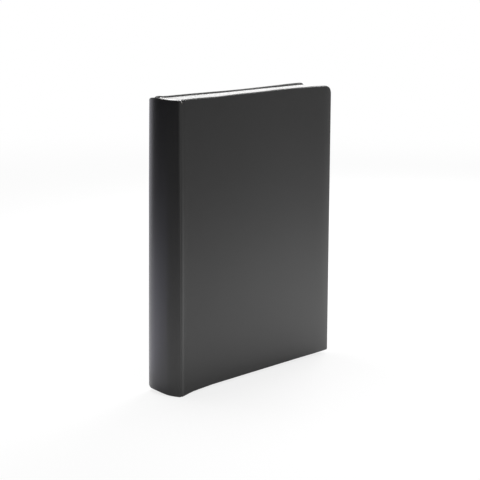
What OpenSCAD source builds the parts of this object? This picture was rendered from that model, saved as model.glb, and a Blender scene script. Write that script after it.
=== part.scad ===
// Slip-in photo album: a case with a rounded spine, bound round leaves of clear photo pockets.
// The closed album stands on its tail. +Z runs up the spine, +X from the spine to the fore-edge,
// and -Y out of the front cover. Lengths are millimetres.

/* [Case] */
// Height of the covers
cover_h = 225; // [215:1:260]
// Width of a cover, from the spine's corner to the fore-edge
cover_w = 180; // [172:1:220]
// Thickness of the closed album, over both covers
album_t = 32; // [31.5:0.5:36]
// Radius of a cover's outer corner at the head
head_corner_r = 5; // [3:0.5:8]
// Radius of a cover's outer corner at the tail
tail_corner_r = 1.5; // [1.5:0.5:3]
// Radius of the covers' and the spine's corners beside a joint
hinge_corner_r = 1.4; // [1.2:0.1:3]
// Rounding of a cover's edges
edge_r = 0.7; // [0.5:0.05:1]
// Thickness of the grey board in each cover
board_t = 2.1; // [1.8:0.1:2.4]
// Thickness of the black covering
wrap_t = 0.35; // [0.25:0.05:0.4]
// Width of covering folded round onto a cover's inside
turn_in = 15; // [10:1:20]

/* [Spine] */
// How far the rounded spine stands out from the covers' edges
spine_bulge = 3.6; // [2.5:0.1:5]
// Radius where the spine turns onto a shoulder
spine_corner_r = 1.9; // [1.9:0.1:2.6]
// Thickness of the curved board in the spine
spine_board_t = 0.9; // [0.7:0.1:1]
// Distance of a joint's crease from the spine's corner
crease_x = 4.2; // [4:0.1:5]
// Radius of the crease
crease_r = 0.6; // [0.4:0.05:0.7]
// Height of covering folded into the spine at head and tail
spine_turn_in = 12; // [8:1:18]

/* [Leaves] */
// Number of leaves, half of them turning with each cover
leaf_count = 20; // [12:2:20]
// Thickness of a leaf's white card
card_t = 0.25; // [0.2:0.05:0.3]
// Thickness of the clear pocket film
film_t = 0.1; // [0.08:0.01:0.12]
// Room between card and film for a photograph
pocket_gap = 0.25; // [0.2:0.01:0.25]
// Width of a welded seam
seam_w = 3; // [2:0.5:4]
// Depth of the thumb notch in each pocket's mouth
thumb_deep = 7; // [4:0.5:8]
// Half the height of a thumb notch
thumb_half = 9; // [8:0.5:12]
// Width of the binding guards at the spine
guard_w = 11.5; // [8:0.5:14]
// How far the covers stand proud of the leaves at head and tail
head_square = 1.5; // [1:0.5:4]
// How far the covers stand proud of the leaves at the fore-edge
fore_square = 3; // [2:0.5:5]
// Thickness of the endpapers
paper_t = 0.15; // [0.1:0.05:0.2]

/* [Hidden] */
$fn = 64;
half_t = album_t / 2;
cover_t = board_t + 2 * wrap_t;
inner_y = half_t - cover_t;

// The joint is a bar of creased covering, between the spine's shoulder and the cover
joint_half = crease_r + wrap_t;
shoulder_x = crease_x - joint_half;
cover_x = crease_x + joint_half;
joint_end = 0.8 * hinge_corner_r;

// The spine is one wide arc, with a small arc on each side that runs into a flat shoulder
spine_r = (half_t * half_t + spine_bulge * spine_bulge) / (2 * spine_bulge);
spine_cx = spine_r - spine_bulge;
turn_y = half_t - spine_corner_r;
turn_x = spine_cx - sqrt(pow(spine_r - spine_corner_r, 2) - turn_y * turn_y);
spine_skin = wrap_t + spine_board_t;

// The book block, from the hollow behind the spine to the fore-edge of the leaves
tube_t = 0.2;
tube_half = 12.5;
mull_t = 0.3;
mull_short = 8;
glue_t = 0.7;
tube_x = 1;
mull_x = tube_x + mull_t;
guard_x = mull_x + glue_t;
block_half = inner_y - paper_t;
block_h = cover_h - 2 * head_square;
hairline = 0.04;
axis_gap = 0.3;
axis_x = guard_x + guard_w + axis_gap;
page_end = cover_w - fore_square;
page_w = page_end - axis_x;

// Leaves lie at an even pitch, with a free endpaper on each side of them
fly_room = 1;
fly_t = 0.2;
leaf_pitch = 2 * (inner_y - fly_room) / leaf_count;
fly_y = inner_y - 0.65 * fly_room;
pocket_x = 4;
film_y = card_t / 2 + pocket_gap;
thumb_r = (thumb_half * thumb_half + thumb_deep * thumb_deep) / (2 * thumb_deep);
thumb_x = pocket_x + thumb_deep - thumb_r;

// The endpapers stop where the covers' edges start to round
paste_margin = edge_r + 0.1;
hinge_paper_x = 1.5;
paste_x = 10;

black = [0.10, 0.10, 0.10];
white = [0.95, 0.95, 0.94];
grey_board = [0.62, 0.60, 0.56];
kraft = [0.70, 0.56, 0.40];

function two_digits(i) = str(i < 10 ? "0" : "", i);
function leaf_y(i) = (i - (leaf_count + 1) / 2) * leaf_pitch;
leaves = [for (i = [1:leaf_count]) i];

// Centres the album over its base
module in_frame() {
    translate([(spine_bulge - cover_w) / 2, 0, 0]) children();
}

// Turns a cover from lying on its inside to standing as the front cover
module as_front_cover() {
    in_frame() translate([0, -inner_y, 0]) rotate([90, 0, 0]) children();
}

module as_back_cover() {
    mirror([0, 1, 0]) as_front_cover() children();
}

// Takes the corner off a panel in the XY plane, at the origin with the panel at +X and -Y
module corner_off(r, depth) {
    translate([r, -r, -1]) linear_extrude(depth + 2) difference() {
        translate([-r - 1, 0]) square(r + 1);
        circle(r);
    }
}

// Section through a panel's edge: square inside, rounded by r at both outer corners
module slab_edge(reach, low, high, r) {
    translate([0, low]) square([reach - r, high - low]);
    translate([0, low + r]) square([reach, high - low - 2 * r]);
    for (y = [low + r, high - r]) translate([reach - r, y]) circle(r, $fn = 32);
}

// The part of the plane between two directions, in degrees, out to a given reach
module between(from_angle, to_angle, reach) {
    polygon([
        [0, 0],
        [reach * cos(from_angle), reach * sin(from_angle)],
        [reach * cos(to_angle), reach * sin(to_angle)]
    ]);
}

module ring(outer_r, inner_r) {
    difference() {
        circle(outer_r);
        circle(inner_r);
    }
}

// The spine's section between two depths below its outside: the wide arc, and on each side
// the turn and the flat shoulder, which meet it square to the layer
module spine_section(outer, inner) {
    lean = atan2(turn_y, spine_cx - turn_x);
    translate([spine_cx, 0]) intersection() {
        ring(spine_r - outer, spine_r - inner, $fn = 256);
        between(180 - lean, 180 + lean, 1.2 * spine_r);
    }
    for (side = [0, 1]) mirror([0, side]) {
        translate([turn_x, turn_y]) intersection() {
            ring(spine_corner_r - outer, spine_corner_r - inner);
            between(90, 180 - lean, 2 * spine_corner_r);
        }
        translate([turn_x, half_t - inner]) square([shoulder_x - turn_x, inner - outer]);
    }
}

// A layer of the spine, with the corners of its shoulders rounded at head and tail
module spine_layer(outer, inner, end) {
    difference() {
        translate([0, 0, end]) linear_extrude(cover_h - 2 * end) spine_section(outer, inner);
        for (low = [true, false]) translate([shoulder_x - end, half_t, low ? end : cover_h - end])
            mirror([0, 0, low ? 1 : 0]) rotate([90, 0, 0]) mirror([1, 0, 0])
                corner_off(hinge_corner_r - end, album_t);
    }
}

module spine_wrap() {
    lining = spine_skin + wrap_t;
    color(black) in_frame() difference() {
        spine_layer(0, lining, 0);
        spine_layer(wrap_t, spine_skin, wrap_t);
        translate([0, 0, spine_turn_in]) linear_extrude(cover_h - 2 * spine_turn_in)
            spine_section(spine_skin - 0.05, lining + 0.05);
    }
}

module spine_board() {
    color(grey_board) in_frame() spine_layer(wrap_t, spine_skin, wrap_t);
}

// The spine's section behind the block, between its sides and back to the tube's flat wall
module tube_section(inset) {
    intersection() {
        translate([spine_cx, 0]) circle(spine_r - spine_skin - inset, $fn = 256);
        translate([-spine_bulge, inset - tube_half])
            square([spine_bulge + tube_x - inset, 2 * (tube_half - inset)]);
    }
}

// Flattened paper tube that joins the block to the spine and leaves the spine hollow
module spine_tube() {
    color(kraft) in_frame() translate([0, 0, spine_turn_in])
        linear_extrude(cover_h - 2 * spine_turn_in) difference() {
            tube_section(0);
            tube_section(tube_t);
        }
}

module spine_mull() {
    color(white) in_frame() translate([tube_x, -block_half, head_square + mull_short])
        cube([mull_t, 2 * block_half, block_h - 2 * mull_short]);
}

module spine_glue() {
    color("ivory") in_frame() translate([mull_x, -block_half, head_square])
        cube([glue_t, 2 * block_half, block_h]);
}

// One guard at the foot of each leaf, and a thinner one under each free endpaper
module binding_guards() {
    fly_guard = block_half - leaf_count / 2 * leaf_pitch;
    color(white) in_frame() translate([guard_x, 0, head_square]) {
        for (i = leaves) translate([0, leaf_y(i) - (leaf_pitch - hairline) / 2, 0])
            cube([guard_w, leaf_pitch - hairline, block_h]);
        for (y = [-block_half, block_half - fly_guard + hairline]) translate([0, y, 0])
            cube([guard_w, fly_guard - hairline, block_h]);
    }
}

// Covers are drawn lying on their inside: X to the fore-edge, Y up the cover, Z through its thickness

// Section through the edge of a cover or its board, from the middle of a corner outwards
module cover_edge(corner_r, inset) {
    slab_edge(corner_r - inset, inset, cover_t - inset, edge_r - inset);
}

// Carries the edge section along a cover's head, fore-edge and tail, and round its outer corners
module round_cover(inset) {
    head_run = cover_w - head_corner_r;
    tail_run = cover_w - tail_corner_r;
    rise = cover_h - head_corner_r;
    translate([cover_x, rise, 0]) rotate([90, 0, 90]) linear_extrude(head_run - cover_x)
        cover_edge(head_corner_r, inset);
    translate([head_run, rise, 0]) rotate_extrude(angle = 90) cover_edge(head_corner_r, inset);
    translate([head_run, rise, 0]) rotate([90, 0, 0]) linear_extrude(rise - tail_corner_r)
        cover_edge(head_corner_r, inset);
    translate([tail_run, tail_corner_r, 0]) rotate([0, 0, -90]) rotate_extrude(angle = 90)
        cover_edge(tail_corner_r, inset);
    translate([tail_run, tail_corner_r, 0]) rotate([90, 0, -90]) linear_extrude(tail_run - cover_x)
        cover_edge(tail_corner_r, inset);
}

// A sheet of the cover's width, margin short of its three outer edges
module cover_sheet(from_x, margin, low, high) {
    translate([from_x, margin, low])
        cube([cover_w - margin - from_x, cover_h - 2 * margin, high - low]);
}

// The same, with its outer corners rounded to follow the cover's
module round_sheet(from_x, margin, low, high) {
    head_r = head_corner_r - margin;
    tail_r = tail_corner_r - margin;
    translate([0, 0, low]) linear_extrude(high - low) {
        translate([from_x, margin]) square([cover_w - head_corner_r - from_x, cover_h - 2 * margin]);
        translate([from_x, margin]) square([cover_w - tail_corner_r - from_x, tail_r]);
        translate([from_x, tail_corner_r])
            square([cover_w - margin - from_x, cover_h - tail_corner_r - head_corner_r]);
        translate([cover_w - head_corner_r, cover_h - head_corner_r]) circle(head_r);
        translate([cover_w - tail_corner_r, tail_corner_r]) circle(tail_r);
    }
}

// A cover's board, or the whole covered cover where inset is 0
module cover_panel(inset) {
    difference() {
        union() {
            round_cover(inset);
            translate([cover_x, tail_corner_r, inset]) cube([
                cover_w - head_corner_r - cover_x,
                cover_h - tail_corner_r - head_corner_r,
                cover_t - 2 * inset
            ]);
        }
        for (low = [true, false]) translate([cover_x + inset, low ? inset : cover_h - inset, 0])
            mirror([0, low ? 1 : 0, 0]) corner_off(hinge_corner_r - inset, cover_t);
    }
}

module cover_wrap() {
    color(black) difference() {
        cover_panel(0);
        cover_panel(wrap_t);
        cover_sheet(cover_x - 1, turn_in, -1, wrap_t + 0.1);
    }
}

module cover_board() {
    color(grey_board) cover_panel(wrap_t);
}

// The endpaper pasted inside a cover, sunk onto the board between the turned-in edges
module pastedown() {
    color(white) {
        round_sheet(paste_x, paste_margin, -paper_t, 0);
        cover_sheet(paste_x, turn_in, -paper_t, wrap_t);
    }
}

// The endpaper's fold, which bridges the joint from the block to the pastedown
module hinge_paper() {
    color(white) translate([hinge_paper_x, paste_margin, -paper_t])
        cube([paste_x - hinge_paper_x, cover_h - 2 * paste_margin, paper_t]);
}

// Creased covering in the joint, with the hinge's axis along the middle of the crease
module joint() {
    color(black) translate([crease_x, joint_end, cover_t]) rotate([-90, 0, 0])
        linear_extrude(cover_h - 2 * joint_end) difference() {
            translate([-joint_half, 0]) square([2 * joint_half, joint_half]);
            circle(crease_r);
        }
}

// A sheet that turns on its own crease: its rounded foot is centred on the axis
module turning_sheet(thickness) {
    linear_extrude(block_h) {
        circle(d = thickness, $fn = 24);
        translate([0, -thickness / 2]) square([page_w, thickness]);
    }
}

module flyleaf(side) {
    color(white) in_frame() translate([axis_x, side * fly_y, head_square]) turning_sheet(fly_t);
}

module page_card(i) {
    color(white) in_frame() translate([axis_x, leaf_y(i), head_square]) turning_sheet(card_t);
}

// Welded seams close a leaf's pockets at tail, middle, head and fore-edge; they open at the spine
module pocket_seams() {
    seam_t = pocket_gap - hairline;
    mouth_w = page_w - pocket_x - seam_w - hairline;
    for (z = [0, (block_h - seam_w) / 2, block_h - seam_w]) translate([pocket_x, card_t / 2, z])
        cube([mouth_w, seam_t, seam_w]);
    translate([page_w - seam_w, card_t / 2, 0]) cube([seam_w, seam_t, block_h]);
}

// One sheet of film over two pockets, with a round thumb notch in the mouth of each
module clear_film() {
    difference() {
        translate([pocket_x, film_y, 0]) cube([page_w - pocket_x, film_t, block_h]);
        for (share = [1/4, 3/4])
            translate([thumb_x, film_y - film_t, seam_w / 2 + share * (block_h - seam_w)])
                rotate([-90, 0, 0]) cylinder(r = thumb_r, h = 3 * film_t);
    }
}

// Clear film on both sides of a leaf
module pocket_film(i) {
    color([0.85, 0.88, 0.90, 0.4]) in_frame() translate([axis_x, leaf_y(i), head_square])
        for (side = [0, 1]) mirror([0, side, 0]) {
            clear_film();
            pocket_seams();
        }
}

spine_wrap();
spine_board();
spine_tube();
spine_mull();
spine_glue();
binding_guards();
as_front_cover() joint();  // front_joint
as_front_cover() cover_wrap();  // front_wrap
as_front_cover() cover_board();  // front_board
as_front_cover() pastedown();  // front_pastedown
as_front_cover() hinge_paper();  // front_hinge_paper
flyleaf(-1);  // front_flyleaf
as_back_cover() joint();  // back_joint
as_back_cover() cover_wrap();  // back_wrap
as_back_cover() cover_board();  // back_board
as_back_cover() pastedown();  // back_pastedown
as_back_cover() hinge_paper();  // back_hinge_paper
flyleaf(1);  // back_flyleaf
for (i = leaves) {
    page_card(i);
    pocket_film(i);
}
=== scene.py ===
"""Looks of the slip-in photo album: its case, papers, clear pockets, studio and camera."""
import math

import bpy
import numpy as np
from mathutils import Matrix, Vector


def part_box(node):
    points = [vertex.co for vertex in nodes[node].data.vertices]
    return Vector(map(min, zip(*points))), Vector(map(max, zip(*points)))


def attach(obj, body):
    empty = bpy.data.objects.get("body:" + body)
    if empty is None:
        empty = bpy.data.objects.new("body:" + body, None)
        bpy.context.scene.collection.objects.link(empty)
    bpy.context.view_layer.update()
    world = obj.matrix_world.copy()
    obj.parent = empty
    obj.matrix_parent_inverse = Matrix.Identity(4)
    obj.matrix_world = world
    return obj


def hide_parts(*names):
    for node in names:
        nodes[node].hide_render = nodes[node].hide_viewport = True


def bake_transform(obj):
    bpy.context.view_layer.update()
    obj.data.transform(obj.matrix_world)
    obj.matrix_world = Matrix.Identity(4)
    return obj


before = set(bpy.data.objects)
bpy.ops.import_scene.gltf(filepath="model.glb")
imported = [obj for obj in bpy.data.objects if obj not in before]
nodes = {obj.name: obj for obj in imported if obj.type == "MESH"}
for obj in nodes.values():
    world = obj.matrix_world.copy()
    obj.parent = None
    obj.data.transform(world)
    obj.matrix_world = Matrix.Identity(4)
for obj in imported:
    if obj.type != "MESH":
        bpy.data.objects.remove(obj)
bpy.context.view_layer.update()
scene = bpy.context.scene
MM = 0.001


def box_mm(node):
    """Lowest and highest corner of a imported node, in millimetres."""
    return [np.array(corner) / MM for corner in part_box(node)]


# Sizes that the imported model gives
cover_low, cover_high = box_mm("front_wrap")
card_low, card_high = box_mm("page_card_01")
packed = "spine_wrap", "front_joint", "pocket_film_01", "front_pastedown", "front_hinge_paper"
spine_low, joint_low, film_low, paste_low, hinge_low = [box_mm(node)[0] for node in packed]
HEIGHT = cover_high[2] - cover_low[2]
HALF_T = -cover_low[1]
COVER_T = cover_high[1] - cover_low[1]
INNER_Y = HALF_T - COVER_T

# The case is drawn with x from the spine's corner to the fore-edge, y from front to back, z from the tail
BULGE = 3.6
SHIFT_X = spine_low[0] + BULGE
WIDTH = cover_high[0] - SHIFT_X
SHOULDER_X = joint_low[0] - SHIFT_X
COVER_X = cover_low[0] - SHIFT_X

# Covering, board and paper
WRAP_T, TURN_IN = 0.35, 15.0
OUTER_EDGE_R, INNER_EDGE_R = 0.9, 0.7
SPINE_TURN_R, SPINE_TURN_IN, SPINE_LINING = 1.7, 12.0, 1.6
JOINT_T, PAPER_T = 0.95, 0.15

# A hair's breadth, which keeps touching faces apart
HAIR = 0.02

# The joint's covering thins to a share of its thickness over a reach from each end
JOINT_END_SHARE, JOINT_END_REACH = 0.35, 5.0

# The pasted endpaper lies a little further in than packed, askew at the head, and sinks inside the turn-ins
PASTE_X = paste_low[0] - SHIFT_X
PASTE_MARGIN, PASTE_SKEW, PASTE_SUNK = paste_low[2] + 0.35, 0.45, WRAP_T - 0.03

# The endpaper's fold, front then back: how far its ends fall below the spine's corner and over what reach,
# and how far it lifts into the notch at the head. The lift's place, half width and half height
HINGE_PAPER_X = hinge_low[0] - SHIFT_X
PAPER_FALLS, PAPER_LIFTS = ((0.8, 5.0), (1.6, 9.0)), (1.7, 0.0)
LIFT_X, LIFT_HALF_W, LIFT_HALF_H = 5.0, 1.6, 2.5

# Radius of the covers' corners at the fore-edge and beside the joint: front then back, each at tail and head
FORE_CORNERS, HINGE_CORNERS = ((1.5, 7.0), (1.5, 5.8)), ((0.3, 1.4), (0.3, 2.2))

# Reach along the spine and height of its rounded corners: head and tail, each front then back
HEAD_CORNERS = ((6.0, 0.75), (8.3, 4.2))
TAIL_CORNERS = ((2.0, 0.2), (9.0, 6.0))

# Waves of the spine's head and tail, by the distance from its middle: place, half width, height. Depth of the
# notches between spine and cover: front then back, each at tail and head
HEAD_WAVES = (-5.5, 3.0, 0.2), (4.0, 7.0, 0.95)
TAIL_WAVES = ((6.0, 9.0, 0.4),)
NOTCHES = ((0.1, 2.6), (0.1, 1.2))

# The bead along the front joint: place, half width before and after it, height, and how it fades upwards.
# The ridge of a board's edge beside it: place, half width, height. The hollow before each turn of the spine:
# distance, half width, depth
BEAD, BEAD_FADE, RIDGE = (3.9, 0.7, 1.9, 0.36), 0.9, (7.4, 1.1, 0.06)
HOLLOW = (0.6, 1.2, 0.12)

# Soft roll of a cover's face towards its fore-edge, and of the spine towards its back turn: reach, height
FACE_ROLL, SPINE_ROLL = (9.0, 0.5), (11.0, 0.65)

# How the case has settled: how far each side moves out at tail and head, the spine's back side at the tail,
# the bow of the back, and the spread of the fore-edge at the tail
SPLAY_TAIL, SPLAY_HEAD, SPLAY_SPINE = -0.16, -0.97, 0.42
BACK_BOW, FORE_SPREAD = 0.35, 0.49

# Rise of the tail away from the spine's front corner: height, reach, start, and how far up it has faded
TAIL_RISE, TAIL_REACH, TAIL_FROM_X, TAIL_FADE = 2.3, 24.5, HALF_T / 10, 60.0

# How far the spine's front turn has moved over at tail and head, more between them, and where that fades
TURN_SHIFT_TAIL, TURN_SHIFT_HEAD, TURN_BOW = 1.35, 0.6, 0.12
TURN_FROM_Y, TURN_REACH_Y, TURN_FADE_X = 6.0, 9.0, 2.4

# Bows of the front's tail edge, and of the head edges, front then back: place, half width, height
TAIL_BOWS = (6.5, 2.5, -0.3), (25.0, 7.0, -0.5)
HEAD_BOWS = (
    ((45.0, 12.0, -0.3), (122.0, 24.0, 0.35), (174.0, 10.0, -0.4)),
    ((9.0, 4.0, 0.6), (97.0, 42.0, -0.5), (165.0, 12.0, 0.2)))


class Sock:
    """A shader socket in a Python expression: operators add Math nodes, new() adds any other node."""

    def __init__(self, node, name=0):
        self.node, self.socket = node, node.outputs[name]

    def __getitem__(self, name):
        return Sock(self.node, name)

    def new(self, kind, settings=None, **inputs):
        """Adds a node: first its settings, then the value or link of each socket, by name or as s0, s1."""
        node = self.node.id_data.nodes.new("ShaderNode" + kind)
        for key, value in (settings or {}).items():
            setattr(node, key, value)
        for key, value in inputs.items():
            at = int(key[1:]) if key[1:].isdigit() else key.replace("_", " ")
            if isinstance(value, Sock):
                self.node.id_data.links.new(value.socket, node.inputs[at])
            else:
                node.inputs[at].default_value = value
        return Sock(node)

    def math(self, operation, *terms):
        """Adds a Math node on the given terms."""
        return self.new("Math", {"operation": operation}, **{"s%d" % i: t for i, t in enumerate(terms)})

    def __add__(self, other):
        return self.math("ADD", self, other)

    def __radd__(self, other):
        return self.math("ADD", other, self)

    def __sub__(self, other):
        return self.math("SUBTRACT", self, other)

    def __rsub__(self, other):
        return self.math("SUBTRACT", other, self)

    def __mul__(self, other):
        return self.math("MULTIPLY", self, other)

    def __rmul__(self, other):
        return self.math("MULTIPLY", other, self)

    def ramp(self, low, high, start=0.0, end=1.0):
        """Goes smoothly from start to end while this value goes from low to high."""
        settings = {"interpolation_type": "SMOOTHSTEP"}
        return self.new("MapRange", settings, s0=self, s1=low, s2=high, s3=start, s4=end)

    def mix(self, first, second):
        """A colour that goes from first to second as this value goes from 0 to 1."""
        return Sock(self.new("Mix", {"data_type": "RGBA"}, s0=self, s6=first, s7=second).node, 2)


def finish_of(name, **constants):
    """A new material: gives it, its Principled shader and its object coordinates in metres."""
    made = bpy.data.materials.new(name)
    made.use_nodes = True
    shader = made.node_tree.nodes["Principled BSDF"]
    for key, value in constants.items():
        shader.inputs[key.replace("_", " ")].default_value = value
    place = Sock(made.node_tree.nodes.new("ShaderNodeTexCoord"), "Object")
    return made, shader, place


def feed(shader, name, value):
    """Links a value to a shader's input."""
    shader.id_data.links.new(value.socket, shader.inputs[name])


def grey(value):
    """An opaque grey."""
    return (value, value, value, 1.0)


def rgb(r, g, b):
    """An opaque colour."""
    return (r, g, b, 1.0)


def covering_finish():
    """Black coated paper: a fine pressed grain, a satin sheen that varies a little and is brighter where
    the spine is rubbed, paler worn rims."""
    made, shader, place = finish_of("covering", Specular_IOR_Level=0.95, IOR=1.6, Coat_Roughness=0.15)
    rounded = {"feature": "SMOOTH_F1"}
    pebble = place.new("TexVoronoi", rounded, Vector=place, Scale=1700.0, Smoothness=0.5)["Distance"]
    fibre = place.new("TexNoise", Vector=place, Scale=900.0, Detail=3.0)["Fac"]
    cloud = place.new("TexNoise", Vector=place, Scale=16.0, Detail=4.0)["Fac"]
    rim = place.new("Attribute", {"attribute_name": "rim"})["Fac"]
    worn = (rim * fibre.ramp(0.38, 0.72)).ramp(0.1, 0.9)
    shade = (fibre * 0.5 + cloud * 0.5).mix(grey(0.006), grey(0.010))
    feed(shader, "Base Color", (worn * 0.2).mix(shade, grey(0.06)))
    feed(shader, "Roughness", 0.33 + cloud * 0.06 + fibre * 0.06 - worn * 0.05)
    feed(shader, "Coat Weight", place.new("Attribute", {"attribute_name": "rubbed"})["Fac"] * 0.4)
    height = pebble * 0.7 + fibre * 0.3
    feed(shader, "Normal", place.new("Bump", Strength=0.12, Distance=0.00006, Height=height)["Normal"])
    return made


def paper_finish(name, tint, grain=0.05):
    """White paper or card: faint fibres and clouding, matt."""
    made, shader, place = finish_of(name, Specular_IOR_Level=0.3)
    fibre = place.new("TexNoise", Vector=place, Scale=1400.0, Detail=4.0, Roughness=0.7)["Fac"]
    cloud = place.new("TexNoise", Vector=place, Scale=60.0, Detail=3.0)["Fac"]
    low = rgb(*[v * (1 - grain) for v in tint])
    feed(shader, "Base Color", (fibre * 0.6 + cloud * 0.4).ramp(0.3, 0.7).mix(low, rgb(*tint)))
    feed(shader, "Roughness", 0.62 + fibre * 0.2)
    feed(shader, "Normal", place.new("Bump", Strength=0.1, Distance=0.00004, Height=fibre)["Normal"])
    return made


def board_finish():
    """Grey board: coarse fibres with paler and darker flecks."""
    made, shader, place = finish_of("grey_board", Specular_IOR_Level=0.2)
    fibre = place.new("TexNoise", Vector=place, Scale=700.0, Detail=6.0, Roughness=0.75)["Fac"]
    fleck = place.new("TexVoronoi", Vector=place, Scale=500.0)["Distance"]
    shade = fibre.ramp(0.3, 0.7).mix(rgb(0.30, 0.28, 0.25), rgb(0.48, 0.46, 0.42))
    feed(shader, "Base Color", (fleck.ramp(0.25, 0.0) * 0.5).mix(shade, rgb(0.16, 0.15, 0.14)))
    feed(shader, "Roughness", 0.8 + fibre * 0.15)
    feed(shader, "Normal", place.new("Bump", Strength=0.3, Distance=0.0001, Height=fibre)["Normal"])
    return made


def mull_finish():
    """Open cotton weave, soaked with size: threads each way, about one to the millimetre."""
    made, shader, place = finish_of("mull_weave", Specular_IOR_Level=0.2)
    apart = place.new("SeparateXYZ", Vector=place)
    over, along = [wave.math("SINE", wave) for wave in (apart["Y"] * 6000.0, apart["Z"] * 6000.0)]
    thread = over.math("MAXIMUM", over, along)
    feed(shader, "Base Color", thread.ramp(-0.2, 0.8).mix(rgb(0.55, 0.50, 0.38), rgb(0.86, 0.85, 0.80)))
    feed(shader, "Roughness", 0.9 - thread * 0.05)
    feed(shader, "Normal", place.new("Bump", Strength=0.4, Distance=0.0001, Height=thread)["Normal"])
    return made


def glue_finish():
    """Dried binding glue: pale, a little glossy, with soft lumps."""
    made, shader, place = finish_of("binding_glue")
    lump = place.new("TexNoise", Vector=place, Scale=300.0, Detail=3.0)["Fac"]
    feed(shader, "Base Color", lump.ramp(0.3, 0.7).mix(rgb(0.70, 0.62, 0.42), rgb(0.86, 0.80, 0.62)))
    feed(shader, "Roughness", 0.3 + lump * 0.2)
    feed(shader, "Normal", place.new("Bump", Strength=0.4, Distance=0.0003, Height=lump)["Normal"])
    return made


def film_finish():
    """Clear polypropylene: nearly all light goes through; milky, ribbed welds and a slightly wavy gloss."""
    made, shader, place = finish_of("pocket_film", Specular_IOR_Level=0.6)
    apart = place.new("SeparateXYZ", Vector=place)
    ripple = place.new("TexNoise", Vector=place, Scale=25.0, Detail=2.0)["Fac"]
    haze = place.new("TexNoise", Vector=place, Scale=220.0, Detail=3.0)["Fac"]
    weld = place.new("Attribute", {"attribute_name": "rim"})["Fac"]
    slant = (apart["X"] + apart["Z"]) * 4400.0
    rib = slant.math("SINE", slant) * weld
    feed(shader, "Base Color", haze.mix(rgb(0.85, 0.85, 0.85), rgb(0.91, 0.91, 0.905)))
    feed(shader, "Roughness", 0.06 + haze * 0.06 + weld * 0.25)
    feed(shader, "Alpha", 0.14 + haze * 0.05 + weld * 0.8)
    height = ripple + rib * 0.1
    feed(shader, "Normal", place.new("Bump", Strength=0.2, Distance=0.001, Height=height)["Normal"])
    return made


def smooth(t):
    """Eases from 0 to 1 as t does."""
    t = np.clip(t, 0.0, 1.0)
    return t * t * (3 - 2 * t)


def swell(value, middle, half_width, height):
    """A soft ridge: its height times the bell curve of the distance from its middle."""
    return height * np.exp(-((value - middle) / half_width) ** 2)


def roll(inset, reach, height):
    """A soft roll at an edge: t e^(1 - t) times its height, with t the inset over its reach."""
    t = np.maximum(inset, 0) / reach
    return height * t * np.exp(1 - t)


def joint_relief(x, z, side):
    """How far the covering stands proud beside a joint: the front's bead, which fades out towards the head,
    and the ridge after it."""
    crest, before, after, height = BEAD
    bead = swell(x, crest, np.where(x < crest, before, after), height)
    return bead * np.clip(1 - z / HEIGHT, 0, 1) ** BEAD_FADE * (side < 0) + swell(x, *RIDGE)


def settle(points):
    """The case as use has left it. Its sides draw in towards the head and its back bows out. Its tail edges
    rise with the distance from the spine's front corner, its head and tail edges bow a little, the spine's
    front turn moves over, and the fore-edge spreads towards the tail."""
    x, y, z = np.moveaxis(points, -1, 0)
    splay = SPLAY_TAIL + (SPLAY_HEAD - SPLAY_TAIL) * z / HEIGHT
    swelled = BACK_BOW * 4 * z / HEIGHT + SPLAY_SPINE * np.clip(1 - x / SHOULDER_X, 0, 1)
    splay = splay + swelled * (1 - z / HEIGHT) * (y > 0)
    rise = TAIL_RISE * smooth(np.hypot(x - TAIL_FROM_X, y + HALF_T) / TAIL_REACH)
    rise = np.maximum(rise + sum(swell(x, *bow) for bow in TAIL_BOWS) * smooth(-y / HALF_T), 0)
    over = TURN_SHIFT_TAIL + (TURN_SHIFT_HEAD - TURN_SHIFT_TAIL) * z / HEIGHT
    over = over + TURN_BOW * 4 * (z / HEIGHT) * (1 - z / HEIGHT)
    over = over * smooth((-y - TURN_FROM_Y) / TURN_REACH_Y) * np.clip((SHOULDER_X - x) / TURN_FADE_X, 0, 1)
    over = over + FORE_SPREAD * (1 - z / HEIGHT) * np.clip(x / WIDTH, 0, 1)
    front, back = [sum(swell(x, *bow) for bow in bows) for bows in HEAD_BOWS]
    bow = (front + (back - front) * smooth(y / HALF_T + 0.5)) * np.clip(1 - (HEIGHT - z) / TAIL_FADE, 0, 1)
    lifted = z + bow + rise * np.clip(1 - z / TAIL_FADE, 0, 1)
    return np.stack([x + over, y * (1 + splay / HALF_T), lifted], -1)


def cells(at):
    """The quads of a grid of point numbers."""
    return np.stack([at[:-1, :-1], at[1:, :-1], at[1:, 1:], at[:-1, 1:]], -1).reshape(-1, 4)


def thin_solid(outer, inner, zipped=False):
    """Points and quads of a sheet between two grids, closed round their border.
    A zipped sheet also joins the two halves of its first column to each other, across its middle."""
    rows, columns = outer.shape[:2]
    count = rows * columns
    at = np.arange(count).reshape(rows, columns)
    quads = [cells(at), cells(at + count)[:, ::-1]]
    loop = np.concatenate([at[0, :-1], at[:-1, -1], at[-1, ::-1]])
    if zipped:
        half = at[:rows // 2, 0]
        other = at[:rows // 2 - 1:-1, 0]
        seam = np.stack([half[1:], half[:-1], other[:-1], other[1:]], -1)
        quads += [seam, seam[:, ::-1] + count]
    else:
        loop = np.concatenate([loop, at[-2:0:-1, 0]])
    ahead = np.roll(loop, -1)
    quads.append(np.stack([loop, ahead, ahead + count, loop + count], -1))
    points = np.concatenate([outer.reshape(-1, 3), inner.reshape(-1, 3)])
    faces = np.concatenate(quads)
    a, b, c, d = np.moveaxis(points[faces], 1, 0)
    volume = np.sum(np.cross(c - a, d - b) * (a + b + c + d))
    return points, faces if volume > 0 else faces[:, ::-1]


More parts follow.
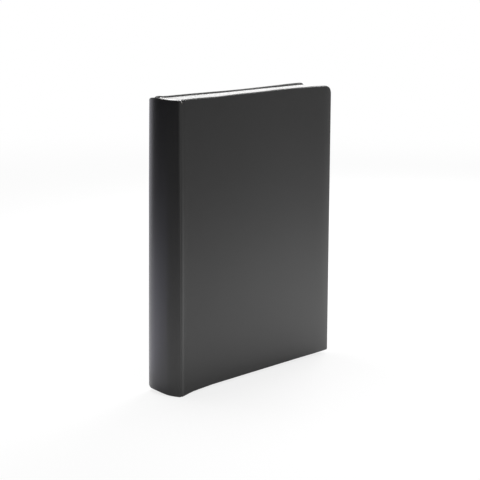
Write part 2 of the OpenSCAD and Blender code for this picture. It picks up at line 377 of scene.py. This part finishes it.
def add(name, finish, slot, replaced, sheets, zipped=False, **marks):
    """A piece of one or more sheets, each a pair of grids in millimetres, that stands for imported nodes.
    A mark gives every point of a grid a value that its finish uses."""
    solids = [thin_solid(outer, inner, zipped) for outer, inner in sheets]
    starts = np.cumsum([0] + [len(points) for points, faces in solids])
    points = np.concatenate([solid[0] for solid in solids])
    faces = np.concatenate([solid[1] + start for solid, start in zip(solids, starts)])
    mesh = bpy.data.meshes.new(name)
    mesh.from_pydata(((points + [SHIFT_X, 0, 0]) * MM).tolist(), [], faces.tolist())
    mesh.polygons.foreach_set("use_smooth", np.ones(len(faces), bool))
    mesh.set_sharp_from_angle(angle=math.radians(35))
    for mark, value in marks.items():
        both = [np.tile(np.broadcast_to(value, outer.shape[:2]).ravel(), 2) for outer, inner in sheets]
        layer = mesh.attributes.new(mark, "FLOAT", "POINT")
        layer.data.foreach_set("value", np.concatenate(both).astype(np.float32))
    mesh.materials.append(finish)
    piece = bpy.data.objects.new(name, mesh)
    scene.collection.objects.link(piece)
    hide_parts(*replaced)
    return piece


def half_rings(inset, corner_r, hinge_r):
    """Places from the joint along a cover's tail to the middle of its fore-edge, for rings at each inset.
    The corner is a quarter circle of its radius less the inset, which grows square on the inner rings.
    Beside the joint the ends rise by a quarter circle, which fades with the inset."""
    square = smooth((inset - 1.2) / 5)
    corner = np.maximum(corner_r - inset, 0.25) * (1 - square)
    corner = corner + np.minimum(4, (HEIGHT / 2 - inset) / 2) * square
    far = WIDTH - inset - corner
    near = COVER_X + hinge_r
    share = np.linspace(0, 1, 11)[:, None]
    quarter = share * math.pi / 2
    along = (np.arange(1, 18)[:, None] / 18) ** 1.8
    up = np.arange(1, 13)[:, None] / 12.5
    across = (1 - square) * np.sin(quarter) + square * np.minimum(1, 2 * share)
    rise = (1 - square) * (1 - np.cos(quarter)) + square * np.maximum(0, 2 * share - 1)
    end_rise = hinge_r * (1 - np.sin(quarter)) * smooth((8 - inset) / 6.5)
    x = [near - hinge_r * np.cos(quarter) + 0 * inset, near + (far - near) * along,
         far + corner * across, far + corner + 0 * up]
    z = [inset + end_rise, inset + 0 * along,
         inset + corner * rise, inset + corner + (HEIGHT / 2 - inset - corner) * up]
    return np.concatenate(x), np.concatenate(z)


def cover_rings(side, inset):
    """Places round a cover's tail, fore-edge and head: a half for the tail, and one turned over for the
    head."""
    inset = np.asarray(inset)[None, :]
    radii = zip(FORE_CORNERS[side > 0], HINGE_CORNERS[side > 0])
    (tail_x, tail_z), (head_x, head_z) = [half_rings(inset, *pair) for pair in radii]
    return np.concatenate([tail_x, head_x[::-1]]), np.concatenate([tail_z, HEIGHT - head_z[::-1]])


def cover_section(depth, turned_in=True):
    """Inset and height of each ring across a cover's edge, at a depth below its outside: the flat face,
    a rounded edge, the side, a rounded edge and the covering that is turned in."""
    quarter = np.linspace(0, math.pi / 2, 7)
    outer_r, inner_r = OUTER_EDGE_R - depth, INNER_EDGE_R - depth
    face = np.array([110, 80, 55, 35, 20, 12, 8, 5.5, 4, 2.8, 1.8, 1.2])
    inset = [face, depth + outer_r * (1 - np.sin(quarter))]
    height = [0 * face + COVER_T - depth, COVER_T - depth - outer_r * (1 - np.cos(quarter))]
    if turned_in:
        fold = np.array([1.5, 3, 6, 10, TURN_IN])
        inset += [depth + inner_r * (1 - np.cos(quarter)), fold]
        height += [depth + inner_r * (1 - np.sin(quarter)), 0 * fold + depth]
    return np.concatenate(inset), np.concatenate(height)


def cover_grid(side, inset, height):
    """Points of a cover's rings, with the joint's relief on its outer face."""
    x, z = cover_rings(side, inset)
    relief = (joint_relief(x, z, side) + roll(WIDTH - x, *FACE_ROLL)) * (height > COVER_T / 2)
    return settle(np.stack([x, side * (INNER_Y + height + relief), z], -1))


def cover_covering(side, name):
    """Covering of a cover, from its outer face round its three edges onto its inside."""
    outside, inside = cover_section(0.0), cover_section(WRAP_T)
    rim = np.where(np.abs(outside[1] - COVER_T / 2) < COVER_T / 2 - HAIR, 1.0, 0.0)
    sheets = [(cover_grid(side, *outside), cover_grid(side, *inside))]
    return add(name + "_covering", covering, "covering", [name + "_wrap"], sheets, True, rim=rim)


def cover_board(side, name):
    """Board inside a cover, with the same rings on both faces."""
    inset, height = cover_section(WRAP_T + HAIR, False)
    sheets = [(cover_grid(side, inset, height), cover_grid(side, inset, COVER_T - height))]
    return add(name + "_cover_board", board, "board", [name + "_board"], sheets, True)


def stations(start, end, steps, count):
    """Even places from start to end, with close ones added across each step."""
    close = [step + np.linspace(-1.2, 1.2, 7) for step in steps]
    return np.unique(np.concatenate([np.linspace(start, end, count)] + close))


def inner_paper(side, name):
    """Endpaper pasted inside a cover: it sinks onto the board where the turned-in covering ends, and its
    outer corners are quarter circles inside those of the cover."""
    far, top = WIDTH - PASTE_MARGIN, HEIGHT - PASTE_MARGIN
    tail_r, head_r = [radius - PASTE_MARGIN for radius in FORE_CORNERS[side > 0]]
    turn = 1 - np.cos(np.linspace(0, math.pi / 2, 9))
    step = TURN_IN + 0.8
    z = stations(PASTE_MARGIN, top, [step, HEIGHT - step], 13)
    z = np.unique(np.concatenate([z, PASTE_MARGIN + tail_r * turn, top - head_r * turn]))[None, :]
    fall = 0
    for radius, inset in ((tail_r, z - PASTE_MARGIN), (head_r, top - z)):
        fall = fall + radius * (1 - np.sqrt(1 - np.clip(1 - inset / radius, 0, 1) ** 2))
    x = stations(PASTE_X, far, [WIDTH - step], 40)[:, None]
    x = PASTE_X + (x - PASTE_X) * (1 - fall / (far - PASTE_X))
    z = z - PASTE_SKEW * smooth((x - 120) / 50) * z / HEIGHT
    inset = np.minimum(np.minimum(z, HEIGHT - z), WIDTH - x)
    sunk = PASTE_SUNK * smooth((inset - step) / 1.8 + 0.5)
    grids = [settle(np.stack([x, side * (INNER_Y + sunk - rise), z], -1)) for rise in (PAPER_T, HAIR)]
    return add(name + "_inner_paper", endpaper, "endpaper", [name + "_pastedown"], [grids])


def joint_paper(side, name):
    """Fold of the endpaper across a joint, from the block to the pasted paper. Its ends fall with the
    spine's, and at the front's head it lifts into the notch."""
    which = int(side > 0)
    low, high = box_mm(name + "_hinge_paper")
    t, up = np.broadcast_arrays(np.linspace(0, 1, 40)[:, None], np.linspace(0, 1, 31)[None, :])
    x = HINGE_PAPER_X + (PASTE_X - HINGE_PAPER_X) * t
    fall, reach = PAPER_FALLS[which]
    short = 1 - smooth((x - HINGE_PAPER_X) / reach)
    tail = low[2] + (TAIL_CORNERS[which][1] + fall) * short
    head = high[2] - (HEAD_CORNERS[which][1] + fall) * short
    z = tail + (head - tail) * up
    lift = swell(x, LIFT_X, LIFT_HALF_W, PAPER_LIFTS[which]) * swell(z, head, LIFT_HALF_H, 1.0)
    grids = [settle(np.stack([x, side * (INNER_Y + lift - rise), z], -1)) for rise in (PAPER_T, HAIR)]
    return add(name + "_joint_paper", endpaper, "endpaper", [name + "_hinge_paper"], [grids])


def joint_covering(side, name):
    """Creased covering of a joint: the joint's relief, rubbed towards the tail and thinner at its ends, with
    a notch at head and tail between the rounded corners of spine and cover."""
    which = int(side > 0)
    t, up = np.broadcast_arrays(np.linspace(0, 1, 25)[:, None], np.linspace(0, 1, 41)[None, :])
    notch = np.sin(math.pi * t)
    (tail_r, head_r), (tail_deep, head_deep) = HINGE_CORNERS[which], NOTCHES[which]
    tail = TAIL_CORNERS[which][1] * (1 - t) + tail_r * t + tail_deep * notch
    head = HEIGHT - HEAD_CORNERS[which][1] * (1 - t) - head_r * t - head_deep * notch
    x = SHOULDER_X + (COVER_X - SHOULDER_X) * t
    z = tail + (head - tail) * up
    from_end = np.minimum(z - tail, head - z)
    full = JOINT_END_SHARE + (1 - JOINT_END_SHARE) * smooth(from_end / JOINT_END_REACH)
    rises = joint_relief(x, z, side), -JOINT_T * full
    grids = [settle(np.stack([x, side * (HALF_T + rise), z], -1)) for rise in rises]
    rubbed = 2 * (1 - up) ** 2
    piece_name, replaced = name + "_joint_covering", [name + "_joint"]
    return add(piece_name, covering, "covering", replaced, [grids], rim=0.25, rubbed=rubbed)


def spine_outline():
    """Stations round the spine from front to back: place, outward direction and distance from the middle,
    and the distance at which it turns. Each half is a wide arc, then a small arc that turns onto a flat
    shoulder."""
    radius = (HALF_T ** 2 + BULGE ** 2) / (2 * BULGE)
    middle_x = radius - BULGE
    turn_y = HALF_T - SPINE_TURN_R
    turn_x = middle_x - math.sqrt((radius - SPINE_TURN_R) ** 2 - turn_y ** 2)
    lean = math.atan2(turn_y, middle_x - turn_x)
    wide_count, turn_count = 30, 10
    turn_end = wide_count + turn_count
    wide, turn = np.linspace(0, lean, wide_count), np.linspace(lean, math.pi / 2, turn_count + 1)[1:]
    flat = np.linspace(turn_x, SHOULDER_X, 7)[1:]
    angle = np.concatenate([wide, turn, 0 * flat + math.pi / 2])
    way = np.stack([-np.cos(angle), np.sin(angle)], -1)
    place = np.concatenate([
        [middle_x, 0] + radius * way[:wide_count],
        [turn_x, turn_y] + SPINE_TURN_R * way[wide_count:turn_end],
        np.stack([flat, 0 * flat + HALF_T], -1)])
    along = np.concatenate([[0], np.cumsum(np.hypot(*np.diff(place, axis=0).T))])
    mirror = np.array([1, -1])
    return (np.concatenate([place[:0:-1] * mirror, place]), np.concatenate([way[:0:-1] * mirror, way]),
            np.concatenate([-along[:0:-1], along]), along[wide_count - 1])


def rounded_end(along, corners):
    """Fall of the spine's end at each station: a quarter ellipse at each of its two corners."""
    reach, fall = np.moveaxis(np.array(corners)[(along > 0).astype(int)], -1, 0)
    into = np.clip((np.abs(along) - along.max()) / reach + 1, 0, 1)
    return fall * (1 - np.sqrt(1 - into ** 2))


def spine_rows(inside):
    """Depth, share of the way to the head, and rise, of each row round the spine's covering: up from the
    turned-in end, over the head, down the outside, round the tail and up again."""
    middle = SPINE_LINING / 2
    radius = middle - inside
    round_over = np.linspace(0, math.pi, 13)
    fold = np.array([SPINE_TURN_IN, 8, 4, 2])
    down = np.linspace(1, 0, 27)[1:-1]
    depth = [0 * fold + middle + radius, middle + radius * np.cos(round_over), 0 * down + inside]
    share = [0 * fold + 1, 0 * round_over + 1, down]
    rise = [-fold, radius * np.sin(round_over) - middle, middle * (1 - 2 * down)]
    depth += [middle - radius * np.cos(round_over), depth[0]]
    share += [0 * round_over, 0 * fold]
    rise += [middle - radius * np.sin(round_over), fold[::-1]]
    return [np.concatenate(values)[None, :] for values in (depth, share, rise)]


def spine_grid(depth, share, rise):
    """Points of the spine's rows at every station, with a faint hollow before each turn and the joints'
    relief on the shoulders."""
    place, way, along, turn_at = spine_outline()
    up, low = [sum(swell(along, *one) for one in waves) for waves in (HEAD_WAVES, TAIL_WAVES)]
    head = HEIGHT + (up - rounded_end(along, HEAD_CORNERS))[:, None]
    tail = (low + rounded_end(along, TAIL_CORNERS))[:, None]
    z = tail + (head - tail) * share + rise
    place[:, 0] -= roll(turn_at - along, *SPINE_ROLL) * np.clip(1 + along / turn_at, 0, 1)
    bead = joint_relief(place[:, :1], z, along[:, None]) * (np.abs(along) > turn_at)[:, None]
    before, half_width, deep = HOLLOW
    hollow = swell(np.abs(along), turn_at - before, half_width, deep)[:, None] - bead
    flat = place[:, None, :] - (depth + hollow)[..., None] * way[:, None, :]
    return settle(np.concatenate([flat, z[..., None]], -1))


def spine_covering():
    """Covering of the spine, turned in at head and tail."""
    outside, inside = spine_rows(0.0), spine_rows(WRAP_T)
    rim = np.where((outside[0] > HAIR) & (outside[0] < SPINE_LINING - HAIR), 1.0, 0.0)
    place, way, along, turn_at = spine_outline()
    rubbed = smooth((along - 2) / 12)[:, None] * (1 - outside[1])
    sheets = [(spine_grid(*outside), spine_grid(*inside))]
    return add("spine_covering", covering, "covering", ["spine_wrap"], sheets, rim=rim, rubbed=rubbed)


def spine_stiffener():
    """Thin curved board inside the spine's covering."""
    share = np.linspace(0, 1, 25)[None, :]
    rise = (SPINE_LINING / 2) * (1 - 2 * share)
    depths = WRAP_T + HAIR, SPINE_LINING - WRAP_T - HAIR
    sheets = [[spine_grid(depth + 0 * share, share, rise) for depth in depths]]
    return add("spine_stiffener", board, "board", ["spine_board"], sheets)


# Clear pockets: two to a side of each leaf, welded round and open towards the spine
CARD_T = card_high[1] - card_low[1]
AXIS_X = card_low[0] + CARD_T / 2 - SHIFT_X
LEAF_W = card_high[0] - SHIFT_X - AXIS_X
LEAF_H = card_high[2] - card_low[2]
MOUTH_X = film_low[0] - SHIFT_X - AXIS_X
FILM_T, POCKET_GAP, SEAM_W = 0.1, 0.25, 3.0
THUMB_DEEP, THUMB_HALF = 7.0, 9.0

# How far a film crowns between its seams, how far a weld is pressed in, and the width over which it ends
FILM_CROWN, WELD_SINK, WELD_EASE = 0.08, 0.05, 1.6


def pocket_film(number):
    """Both films of a leaf. A film is welded down to the card along its seams and stands off it between
    them, and its open edge is cut back by an arc at the middle of each pocket."""
    low, high = box_mm("page_card_" + number)
    seams = np.array([SEAM_W / 2, LEAF_H / 2, LEAF_H - SEAM_W / 2])
    mouths = (seams[1:] + seams[:-1]) / 2
    close = [s + np.array([-3.2, -2.6, -2, -1.5, 0, 1.5, 2, 2.6, 3.2]) for s in seams]
    thumbs = [m + THUMB_HALF * np.sin(np.linspace(-1, 1, 17) * math.pi / 2) for m in mouths]
    z = np.concatenate([np.linspace(0, LEAF_H, 13)] + close + thumbs)
    z = np.unique(np.clip(z, 0, LEAF_H))[None, :]
    mouth_shares, weld_shares = [0, 0.006, 0.02, 0.05], [0.968, 0.974, 0.98, 0.99, 1]
    share = np.concatenate([mouth_shares, np.linspace(0.1, 0.95, 12), weld_shares])[:, None]
    off = np.minimum(np.abs(z[..., None] - mouths).min(-1), THUMB_HALF)
    thumb_r = (THUMB_HALF ** 2 + THUMB_DEEP ** 2) / (2 * THUMB_DEEP)
    start = MOUTH_X + THUMB_DEEP - thumb_r + np.sqrt(thumb_r ** 2 - off ** 2)
    x = start + (LEAF_W - start) * share
    z = z + 0 * x
    from_seam = np.minimum(np.abs(z[..., None] - seams).min(-1), np.abs(x - LEAF_W + SEAM_W / 2))
    weld = 1 - smooth((from_seam - SEAM_W / 2) / WELD_EASE)
    up_pocket = (z - seams[0]) / (seams[1] - seams[0])
    crown = FILM_CROWN * np.abs(np.sin(math.pi * up_pocket)) * np.sin(math.pi * x / LEAF_W)
    outside = CARD_T / 2 + POCKET_GAP + FILM_T + (crown - WELD_SINK * weld)
    inside = CARD_T / 2 + HAIR + (POCKET_GAP - HAIR + crown) * (1 - weld)
    leaf_y = (low[1] + high[1]) / 2
    sheets = [[np.stack([AXIS_X + x, leaf_y + side * stand, low[2] + z], -1) for stand in (outside, inside)]
              for side in (-1, 1)]
    return add("pockets_" + number, film, "pocket_film", ["pocket_film_" + number], sheets, rim=weld)


def dress(node, finish):
    """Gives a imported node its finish."""
    data = nodes[node].data
    data.materials.clear()
    data.materials.append(finish)


covering = covering_finish()
endpaper = paper_finish("endpaper", (0.93, 0.93, 0.92))
card = paper_finish("page_card", (0.88, 0.875, 0.87))
guard = paper_finish("guard_card", (0.94, 0.935, 0.93), 0.04)
kraft = paper_finish("kraft_paper", (0.52, 0.37, 0.22), 0.25)
board = board_finish()
mull = mull_finish()
glue = glue_finish()
film = film_finish()

node_finishes = {"spine_tube": kraft, "spine_mull": mull, "spine_glue": glue, "binding_guards": guard}
for node in nodes:
    if node.endswith("_wrap") or node.endswith("_joint"):
        dress(node, covering)
    elif node.endswith("_board"):
        dress(node, board)
    elif node.startswith("page_card"):
        dress(node, card)
    elif node.startswith("pocket_film"):
        dress(node, film)
    else:
        dress(node, node_finishes.get(node, endpaper))

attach(spine_covering(), "spine")
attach(spine_stiffener(), "spine")
for side, name in ((-1, "front"), (1, "back")):
    for make in (cover_covering, cover_board, inner_paper):
        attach(make(side, name), name + "_cover")
    for make, y in ((joint_covering, HALF_T), (joint_paper, INNER_Y)):
        ends = [((x + SHIFT_X) * MM, side * y * MM, HEIGHT / 2 * MM) for x in (SHOULDER_X, COVER_X)]
        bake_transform(make(side, name))
for node in nodes:
    if node.startswith("pocket_film_"):
        number = node[-2:]
        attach(pocket_film(number), "leaf_" + number)


def camera():
    """Camera at the photograph's place: azimuth, elevation, roll and distance from the album's middle."""
    azimuth, elevation, tilt = math.radians(-48.49), math.radians(11.1), math.radians(0.486)
    distance, across, up_by = 1203.2, 2.6, 5.59
    sensor_mm, focal_pixels, picture_pixels = 36.0, 1520.4, 480.0
    back = np.array([math.sin(azimuth) * math.cos(elevation), -math.cos(azimuth) * math.cos(elevation),
                     math.sin(elevation)])
    flat = np.array([math.cos(azimuth), math.sin(azimuth), 0.0])
    lift = np.cross(back, flat)
    right = math.cos(tilt) * flat + math.sin(tilt) * lift
    up = -math.sin(tilt) * flat + math.cos(tilt) * lift
    at = np.array([WIDTH / 2 + SHIFT_X, 0, HEIGHT / 2]) + distance * back - across * right - up_by * up
    lens = bpy.data.cameras.new("camera")
    lens.sensor_width = sensor_mm
    lens.lens = sensor_mm * focal_pixels / picture_pixels
    lens.clip_start, lens.clip_end = 0.05, 50.0
    made = bpy.data.objects.new("camera", lens)
    scene.collection.objects.link(made)
    turn = np.eye(4)
    turn[:3, 0], turn[:3, 1], turn[:3, 2], turn[:3, 3] = right, up, back, at * MM
    made.matrix_world = Matrix(turn.tolist())
    scene.camera = made


def stage_sheet(name, points, faces, finish):
    """A sheet of the studio."""
    mesh = bpy.data.meshes.new(name)
    mesh.from_pydata(points, [], faces)
    mesh.materials.append(finish)
    made = bpy.data.objects.new(name, mesh)
    scene.collection.objects.link(made)
    return made


def either(first, second):
    """The greater of two values."""
    return first.math("MAXIMUM", first, second)


def floor_finish():
    """White floor: even white far off, and nearer the album a share of real light that keeps its shadow. In a
    gloss the floor's glow is painted light and shade: a painted shadow close to the album, painted grey on
    the side that the front cover shows, a painted violet reflection behind the spine, and a painted glow
    beside the spine."""
    made, shader, place = finish_of("floor", Roughness=0.9, Specular_IOR_Level=0.0)
    shader.inputs["Base Color"].default_value = grey(0.9)
    path = place.new("LightPath")
    far = place.new("VectorMath", {"operation": "LENGTH"}, s0=place)["Value"]
    direct = either(path["Is Camera Ray"], path["Is Transmission Ray"])
    apart = place.new("SeparateXYZ", Vector=place)
    x, y = apart["X"], apart["Y"]
    half_width, half_thickness = 0.09, 0.016
    far_off = (0.4, 1.6)
    clear = either(x.math("ABSOLUTE", x) - half_width, y.math("ABSOLUTE", y) - half_thickness)
    aside = x - half_width + y * 1.125
    # Painted shadow in the floor's reflection: darker close to the album, greyer towards the left of the
    # front and lighter towards its right, rising to white behind the album
    painted_front_shade = clear.ramp(0.0, 0.25, 0.28, 0.45) - clear.ramp(0.02, 0.0, 0.0, 0.06)
    painted_front_shade = painted_front_shade - clear.ramp(0.24, 0.36, 0.0, 0.1) + aside.ramp(-0.06, 0.05)
    painted_front_shade = painted_front_shade - aside.ramp(-0.12, -0.19) * clear.ramp(0.1, 0.3, 0.0, 0.3)
    near = either(painted_front_shade, y.ramp(-0.02, 0.12) * clear.ramp(0.0, 0.06))
    painted_gloss_level = far.ramp(*far_off) * (1 - near) + near
    # Painted violet reflection: behind and left of the spine the floor glows violet, in a gloss only
    painted_violet_area = y.ramp(-0.03, 0.06) * (x + y * 0.3).ramp(-0.03, -0.12, 0.35, 1.0)
    tint = (painted_violet_area * (1 - direct)).mix(grey(1.0), rgb(0.91, 0.88, 1.2))
    glow = place.new("Emission", Strength=1.0, Color=either(direct, painted_gloss_level).mix(grey(0.0), tint))
    # Painted glow: in a gloss nearly half of the near floor, and most of it beside the spine, is the painted
    # emission above rather than real light and shadow
    painted_glow_beside_spine = x.ramp(-0.08, -0.1) * clear.ramp(0.08, 0.0) * y.ramp(0.05, 0.0, 0.55, 0.86)
    gloss_share = path["Is Glossy Ray"] * either(far.ramp(*far_off, 0.45, 1.0), painted_glow_beside_spine)
    share = either(direct * far.ramp(*far_off, 0.8, 1.0), gloss_share)
    mixed = place.new("MixShader", s0=share, s1=Sock(shader), s2=glow)
    feed(made.node_tree.nodes["Material Output"], "Surface", mixed)
    return made


def painted_reflection_sheet(name, feet, shade, low=0.0, high=1.2):
    """A grey sheet that glows with its shade along a line of feet, between two heights in metres: a painted
    reflection, which shows only in the album's gloss and casts no shadow."""
    made = bpy.data.materials.new(name)
    made.use_nodes = True
    place = Sock(made.node_tree.nodes.new("ShaderNodeTexCoord"), "Object")
    feed(made.node_tree.nodes["Material Output"], "Surface", place.new("Emission", Color=shade))
    points = np.array([[(x, y, low), (x, y, high)] for x, y in feet], float)
    faces = cells(np.arange(2 * len(feet)).reshape(-1, 2))
    sheet = stage_sheet(name, points.reshape(-1, 3).tolist(), faces.tolist(), made)
    sheet.visible_camera = sheet.visible_diffuse = sheet.visible_shadow = sheet.visible_transmission = False


def lamp(name, at, to, size, power):
    """A square soft lamp that looks from one place to another, in metres."""
    light = bpy.data.lights.new(name, "AREA")
    light.shape, light.size, light.energy = "SQUARE", size, power
    made = bpy.data.objects.new(name, light)
    scene.collection.objects.link(made)
    aim = np.array(to, float) - np.array(at, float)
    aim /= np.linalg.norm(aim)
    side = np.cross(aim, (0.02, 0.999, 0.01))
    side /= np.linalg.norm(side)
    turn = np.eye(4)
    turn[:3, 0], turn[:3, 1], turn[:3, 2], turn[:3, 3] = side, np.cross(side, aim), -aim, at
    made.matrix_world = Matrix(turn.tolist())
    return made


def studio():
    """A wide white floor in a white room, soft lamps above, beside and in front, and dark glowing sheets
    round the album that paint reflections in its gloss."""
    half = 12.0
    corners = [(-half, -half, 0), (half, -half, 0), (half, half, 0), (-half, half, 0)]
    stage_sheet("floor", corners, [(0, 1, 2, 3)], floor_finish())
    world = bpy.data.worlds.new("room")
    scene.world = world
    world.use_nodes = True
    shell = world.node_tree.nodes["Background"]
    path = Sock(world.node_tree.nodes.new("ShaderNodeLightPath"))
    seen = either(either(path["Is Camera Ray"], path["Is Glossy Ray"]), path["Is Transmission Ray"])
    feed(shell, "Strength", 0.36 + seen * 0.64)
    shell.inputs["Color"].default_value = grey(1.0)
    lamp("top", (-0.02, 0.22, 0.9), (0.0, 0.0, 0.2), 0.4, 4.2)
    lamp("side", (0.8, 0.25, 0.55), (0.1, -0.05, 0.0), 0.5, 7.5)
    lamp("front", (-0.35, -0.9, 1.2), (0.0, 0.0, 0.15), 0.5, 5.0).visible_glossy = False
    # Painted reflections, seen only in the album's gloss: darkest on the left and behind, greyer towards the
    # right front
    painted_reflection_sheet("left_flag", [(-0.22, 0.62), (-0.45, 0.30), (-0.54, 0.0), (-0.46, -0.26)], rgb(0.02, 0.02, 0.024))
    painted_reflection_sheet("camera_flag", [(-0.46, -0.26), (-0.1, -0.37)], grey(0.08))
    painted_reflection_sheet("near_flag", [(-0.1, -0.37), (0.34, -0.37)], grey(0.17))
    painted_reflection_sheet("front_flag", [(0.34, -0.37), (0.42, -0.37)], grey(0.21))
    painted_reflection_sheet("far_flag", [(0.42, -0.37), (1.2, -0.37)], grey(0.26))
    painted_reflection_sheet("back_flag", [(-0.05, 0.55), (0.35, 0.45), (0.62, 0.1)], grey(0.03), 0.25)


scene.view_settings.view_transform = "Standard"
camera()
studio()
